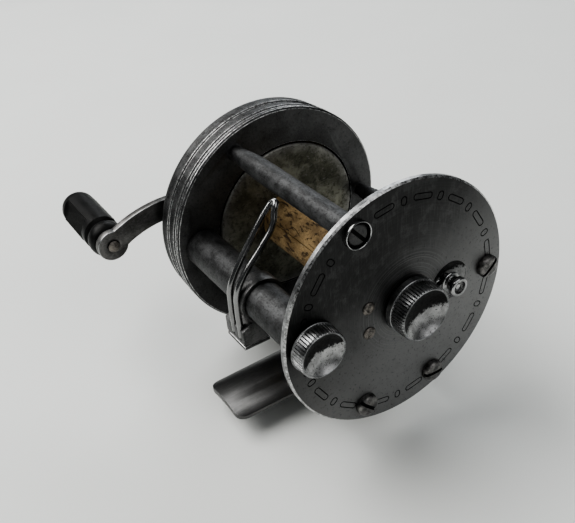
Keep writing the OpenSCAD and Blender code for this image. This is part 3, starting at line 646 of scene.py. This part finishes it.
def edit(piece):
    make_active(piece)
    bpy.ops.object.mode_set(mode="EDIT")
    bpy.context.tool_settings.mesh_select_mode = (True, False, False)


# %% [markdown]
# ## Pillars
# The four pillars are torpedo shaped: slim at the head, swelling to full size near the tail plate, with
# a small round base where they meet the head ring. One profile serves all four.

# %% Pillars
PILLARS = ("top_pillar", "rear_pillar", "lower_rear_pillar", "lower_front_pillar")
head_x, tail_x = inner_head / MM, inner_tail / MM
full_r = (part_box("top_pillar")[1].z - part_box("top_pillar")[0].z) / 2 / MM


def pillar_profile():
    start = [(head_x, 1.9), (head_x + 0.06, 1.9), (head_x + 0.1, 1.8), (head_x + 0.12, 1.3)]
    swell = []
    for i in range(14):
        along = (i + 1) / 14
        swell.append((head_x + 0.12 + 12 * along,
                     1.3 + (full_r - 1.3) * math.sin(along * math.pi / 2) ** 0.85))
    end = [(tail_x - 0.8, full_r), (tail_x - 0.3, full_r - 0.08), (tail_x, full_r - 0.25)]
    return start + swell + end


for node in PILLARS:
    pillar = turned(node + "_turned", axis_of(node), pillar_profile(), 48)
    pillar.data.materials.append(pillar_nickel)
    smooth(pillar)
    settle(pillar, "frame", "nickel", node)
print("four pillars of", round(full_r, 2), "mm radius")

# %% [markdown]
# ## Knurled caps
# Each cap has a smooth collar, a band of fine grooves and a deep polished dish with a thin rim. The
# mesh has five columns to a groove: every fifth column of the band is pulled towards the axis, which
# leaves flat lands between narrow grooves. The dish is a second finish, so its faces are sorted by
# their radius.

# %% Caps
def knurled_cap(node, dish, flutes, collar, groove_mm, dish_mm, facing=1):
    axis = axis_of(node)
    low, high = (edge / MM for edge in span_of(node))
    start = low if facing > 0 else high
    length = high - low
    radius = (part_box(node)[1].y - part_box(node)[0].y) / 2 / MM
    rim = radius - 0.32
    dish_r = radius - 0.75
    steps = flutes * 5
    shape = [(0.0, radius - 0.35), (0.08, radius - 0.12), (0.25, radius), (collar - 0.1, radius),
             (collar, radius - 0.12), (collar + 0.12, radius - 0.14), (collar + 0.2, radius - 0.14),
             (length - 0.4, radius - 0.22), (length - 0.15, rim), (length, rim - 0.16), (length,
                                                                                         dish_r + 0.1),
             (length - 0.08, dish_r)]
    for i in range(9):
        share = 1 - (i + 1) / 9.2
        shape.append((length - 0.1 - (dish_mm - 0.1) * (1 - share ** 2.2), dish_r * share))
    cap = turned(node + "_knurled", axis, [(start + facing * x, r) for x, r in shape], steps)
    band = sorted(start + facing * x for x in (collar + 0.19, length - 0.1))
    edit(cap)
    pick(cap, lambda p: band[0] * MM < p.x < band[1] * MM and column_of(p, axis, steps) % 5 == 0
         and from_axis(p, axis) > (radius - 0.5) * MM)
    squeeze = 1 - groove_mm / radius
    bpy.ops.transform.resize(value=(1, squeeze, squeeze), center_override=(0, *axis))
    bpy.ops.object.mode_set(mode="OBJECT")
    for material in (cap_nickel, dish):
        cap.data.materials.append(material)
    deepest = (length - dish_mm - 0.1) * MM
    sort_faces(cap, lambda c, n: 1 if from_axis(c,
               axis) < dish_r * MM and abs(c.x - start * MM) > deepest else 0)
    smooth(cap, 30)
    settle(cap, node, "polished_nickel", node)
    return cap


knurled_cap("spool_cap", spool_dish, 56, 1.5, 0.3, 2.0)
knurled_cap("worm_cap", worm_dish, 50, 0.45, 0.28, 1.6)
knurled_cap("head_cap", spool_dish, 46, 0.5, 0.25, 0.5, -1)
print("three knurled caps made")

# %% [markdown]
# ## Slotted screws
# The tail screws have tall cheese heads, rounded at the edge. Each is turned with its shank, then a
# Boolean cuts the slot. The cutter carries the black painted shade, so the new walls come out black
# too: painted shade in the slot. The top screw sits low inside a thin bright ring; its head is given
# a darker finish as painted shade, and the inside of the ring is painted black as painted shade.

# %% Tail screws and the ring
SLOT_TURNS = (-50, 42, -2, -45)
outer_x = outer_tail / MM


def slotted_screw(name, axis, profile, slot_depth, turn, finish):
    screw = turned(name, axis, profile, 64)
    screw.data.materials.append(finish)
    top = profile[-1][0]
    clear_selection()
    tilt = (math.radians(turn), 0, 0)
    bpy.ops.mesh.primitive_cube_add(size=1, location=(top * MM, *axis), rotation=tilt,
                                    scale=(2 * slot_depth * MM, 8 * MM, 0.72 * MM))
    cutter = bpy.context.object
    bpy.ops.object.transform_apply(location=True, rotation=True, scale=True)
    cutter.data.materials.append(painted_recess_shade)
    cut = screw.modifiers.new("slot", "BOOLEAN")
    cut.operation = "DIFFERENCE"
    cut.solver = "EXACT"
    cut.material_mode = "TRANSFER"
    cut.object = cutter
    make_active(screw)
    bpy.ops.object.modifier_apply(modifier=cut.name)
    bpy.data.objects.remove(cutter)
    smooth(screw, 40)
    return screw


def cheese_head(radius, height):
    shank = [(outer_x - 5.2, 0.9), (outer_x - 5.0, 1.1), (outer_x, 1.1)]
    head = [(outer_x, radius - 0.15), (outer_x + 0.12, radius), (outer_x + height * 0.45, radius),
            (outer_x + height * 0.7, radius * 0.95), (outer_x + height * 0.88, radius * 0.85),
            (outer_x + height * 0.96, radius * 0.65), (outer_x + height, radius * 0.3),
            (outer_x + height, radius * 0.02)]
    return shank + head


# The top screw takes the darker ring_face finish: painted shade for the shadow it sits in.
screws = [slotted_screw("tail_screw_" + str(i + 1), axis_of(PILLARS[i]),
                        cheese_head(2.05, 0.75) if i == 0 else cheese_head(2.4,
                                                                           1.45), 0.55 if i == 0 else 0.8,
                        SLOT_TURNS[i], ring_face if i == 0 else screw_steel) for i in range(4)]
make_active(screws[0])
for screw in screws[1:]:
    screw.select_set(True)
bpy.ops.object.join()
screws[0].name = "tail_screws_shaped"
settle(screws[0], "frame", "dark_nickel", "tail_screws")

cup_axis = axis_of("top_pillar")
cup_profile = [(outer_x, 2.74), (outer_x + 0.6, 2.74), (outer_x + 0.78, 2.71), (outer_x + 0.88, 2.65),
               (outer_x + 0.9, 2.58), (outer_x + 0.86, 2.5), (outer_x + 0.75, 2.45), (outer_x + 0.02,
                                                                                      2.3)]
screw_ring = turned("screw_cup_turned", cup_axis, cup_profile, 96)
for material in (bright_nickel, painted_recess_shade):
    screw_ring.data.materials.append(material)
# The inside of the ring is painted black: painted shade in the gap round the screw.
sort_faces(screw_ring, lambda c, n: 1 if from_axis(c, cup_axis) < 2.45 * MM else 0)
smooth(screw_ring, 40)
settle(screw_ring, "frame", "polished_nickel", "screw_cup")
print("screws and ring made")

# %% [markdown]
# ## Grips
# A grip is a turned body, a neck and a glossy collar beside the crank. Two opposite sides are flattened
# for finger and thumb: their vertices are scaled flat, and pairs of rings are then moved out again as
# ribs. The crests of the ribs are paler: partly wear, partly a painted highlight along each rib. Last,
# the whole grip is turned a little, because a grip stops anywhere.

# %% Grips
RIB_MM = 0.15
PANEL_TURN = 22.0


def grip(node):
    axis = axis_of(node)
    y, z = axis
    low, high = (edge / MM for edge in span_of(node))
    radius = (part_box(node)[1].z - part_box(node)[0].z) / 2 / MM
    rings = int((high - low - 8.4) / RIB_MM)
    shape = [(low + 1.4, 0.4), (low + 1.4, 2.0), (low + 0.5, 2.15), (low + 0.3, 2.5), (low + 0.45, 3.0),
             (low + 0.8, 3.45), (low + 1.3, 3.78), (low + 1.9, 3.98), (low + 2.6, radius - 0.02)]
    shape += [(low + 2.9 + RIB_MM * i, radius) for i in range(rings)]
    shape += [(high - 4.95, radius - 0.03), (high - 4.7, radius - 0.3), (high - 4.5, radius - 0.75),
              (high - 4.25, radius - 0.95), (high - 3.75, radius - 0.95), (high - 3.55, radius - 0.7),
              (high - 3.25, radius - 0.25), (high - 2.8, radius - 0.04), (high - 2.2, radius),
              (high - 1.4, radius - 0.04), (high - 0.8, radius - 0.25), (high - 0.35, radius - 0.6),
              (high - 0.1, radius - 1.1), (high, radius - 1.5)]
    piece = turned(node + "_moulded", axis, shape, 96)
    first, last = (low + 3.35) * MM, (low + 2.9 + RIB_MM * (rings - 8.5)) * MM
    flat = radius * 0.79 * MM
    edit(piece)
    for side in (-1, 1):
        pick(piece, lambda p: first < p.x < last and side * (p.y - y) > flat)
        bpy.ops.transform.resize(value=(1, 0, 1), center_override=(0, y + side * flat, z))
        pick(piece, lambda p: first < p.x < last and side * (p.y - y) > flat * 0.98
             and round((p.x / MM - low - 2.9) / RIB_MM) % 4 < 2)
        bpy.ops.transform.translate(value=(0, side * 0.22 * MM, 0))
    bpy.ops.object.mode_set(mode="OBJECT")
    for material in (hard_rubber, worn_rubber_and_highlight):
        piece.data.materials.append(material)
    # Rib crests take the paler rubber: wear, and a painted highlight along each rib.
    sort_faces(piece, lambda c, n: 1 if first < c.x < last and abs(c.y - y) > flat + 0.15 * MM else 0)
    edit(piece)
    bpy.ops.mesh.select_all(action="SELECT")
    bpy.ops.transform.rotate(value=math.radians(PANEL_TURN), orient_axis="X", center_override=(0, y, z))
    bpy.ops.object.mode_set(mode="OBJECT")
    smooth(piece, 24)
    settle(piece, node, "black_grip", node)


grip("front_grip")
grip("rear_grip")

# %% [markdown]
# ## Line guide
# The guide is one wire bent into a hairpin: up from the carriage, back over the spool and down again. A
# Bezier curve with a round bevel is the natural tool. Its points follow the wire of the design.

# %% Line guide
guide_low, guide_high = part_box("line_guide")
wire_r = 0.65
left_x, right_x = guide_low.x / MM + wire_r, guide_high.x / MM - wire_r
centre_z = plate_axis[1] / MM
WIRE = [(left_x, -25.1, -6.3), (left_x, -25.1, 1.0), (left_x, -24.75, 4.0), (left_x, -23.2, 7.0),
        (left_x, -19.1, 12.7), (left_x, -14.6, 18.0), (left_x + 0.25, -13.75, 18.85),
        (left_x + 0.8, -13.5, 19.05), (left_x + 1.35, -13.85, 18.6), (left_x + 1.6, -14.3, 17.6),
        (right_x - 0.25, -15.3, 15.4), (right_x, -18.4, 11.9), (right_x, -23.2, 6.8),
        (right_x, -24.75, 3.9), (right_x, -25.1, 0.9), (right_x, -25.1, -6.3)]
clear_selection()
bpy.ops.curve.primitive_bezier_curve_add()
wire = bpy.context.object
wire.name = "line_guide_wire"
spline = wire.data.splines[0]
spline.bezier_points.add(len(WIRE) - 2)
for point, (x, y, z) in zip(spline.bezier_points, WIRE):
    point.co = (x * MM, y * MM, (z + centre_z) * MM)
    point.handle_left_type = point.handle_right_type = "AUTO"
wire.location = (0, 0, 0)
wire.data.resolution_u = 8
wire.data.bevel_depth = wire_r * MM
wire.data.bevel_resolution = 6
wire.data.use_fill_caps = True
make_active(wire)
bpy.ops.object.convert(target="MESH")
wire = bpy.context.object
wire.data.materials.clear()
wire.data.materials.append(wire_steel)
smooth(wire, 50)
settle(wire, "carriage", "polished_nickel", "line_guide")
print("guide wire has", len(wire.data.polygons), "faces")

# %% [markdown]
# ## Cork arbor
# The arbor is two half shells of cork glued round the shaft. Each is turned with many rings, cut along
# the seam by bisect, and given soft seam edges. A Displace modifier with fine clouds then roughens the
# skin for real, because cork seen this close has a broken outline.

# %% Cork
cork_low, cork_high = span_of("upper_cork")
cork_r = (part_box("upper_cork")[1].z - spool_axis[1]) / MM
SEAM_DEGREES = -22.0
RING_MM = 0.45
lumps = bpy.data.textures.new("cork_lumps", "CLOUDS")
lumps.noise_scale = 1.1 * MM
lumps.noise_depth = 4


def cork_half(node, side):
    rings = int((cork_high - cork_low) / MM / RING_MM)
    shape = [(cork_low / MM + (cork_high - cork_low) / MM * i / rings,
             cork_r - 0.02) for i in range(rings + 1)]
    half = turned(node + "_shell", spool_axis, shape, 120)
    seam = math.radians(SEAM_DEGREES)
    normal = Vector((0, -math.sin(seam), math.cos(seam)))
    edit(half)
    bpy.ops.mesh.select_all(action="SELECT")
    bpy.ops.mesh.bisect(plane_co=(0, *spool_axis), plane_no=normal, use_fill=True, clear_inner=side > 0,
                        clear_outer=side < 0)
    bpy.ops.object.mode_set(mode="OBJECT")
    bevel(half, 0.16, 2, 60)
    push = half.modifiers.new("skin", "DISPLACE")
    push.texture = lumps
    push.texture_coords = "LOCAL"
    push.strength = -0.22 * MM
    push.mid_level = 0.0
    make_active(half)
    bpy.ops.object.modifier_apply(modifier=push.name)
    half.data.materials.append(cork_skin)
    smooth(half, 60)
    settle(half, "spool", "cork", node)
    print(node, "has", len(half.data.polygons), "faces")


cork_half("upper_cork", 1)
cork_half("lower_cork", -1)

# %% [markdown]
# ## The floor and the light
# The reel stands on a plain pale floor. A large soft light hangs behind on the left, so that it skims
# the rims, and a weaker one fills from the front. The world is a dim grey: metal shows what surrounds
# it, and a dim surround keeps it dark.

# %% Floor and light
FLOOR_SIZE = 3.0
floor_z = cad_box[0].z - 0.1 * MM


def floor_finish():
    finish = Finish("floor_paint", Roughness=0.85, Specular_IOR_Level=0.2)
    clouds = finish.noise(60, 3, 0.5)
    finish.feed(Base_Color=finish.mix(clouds, (0.66, 0.675, 0.66, 1), (0.72, 0.73, 0.715, 1)))
    return finish.material


clear_selection()
bpy.ops.mesh.primitive_plane_add(size=FLOOR_SIZE, location=(0, 0, floor_z))
floor = bpy.context.object
floor.name = "floor"
floor.data.materials.append(floor_finish())


def soft_light(name, place, target, size, watts, tint=(1, 1, 1)):
    bpy.ops.object.light_add(type="AREA", location=place)
    light = bpy.context.object
    light.name = name
    light.data.shape = "RECTANGLE"
    light.data.size, light.data.size_y = size
    light.data.energy = watts
    light.data.color = tint
    toward = Vector(target) - Vector(place)
    light.rotation_euler = toward.to_track_quat("-Z", "Y").to_euler()
    return light


CENTRE = (0.0, 0.0, plate_axis[1])
soft_light("key", (-0.28, -0.30, 0.60), CENTRE, (0.7, 0.5), 7.5, (1.0, 0.99, 0.97))
soft_light("back", (-0.5, 0.5, 0.5), CENTRE, (0.6, 0.3), 3.0, (0.95, 0.98, 1.0))
soft_light("fill", (0.55, 0.1, 0.5), CENTRE, (0.6, 0.6), 1.6)
world = bpy.data.worlds.new("room")
bpy.context.scene.world = world
world.use_nodes = True
world.node_tree.nodes["Background"].inputs["Color"].default_value = (0.80, 0.84, 0.85, 1)
world.node_tree.nodes["Background"].inputs["Strength"].default_value = 0.12
bpy.context.scene.view_settings.view_transform = "AgX"
bpy.context.scene.view_settings.look = "AgX - Medium High Contrast"
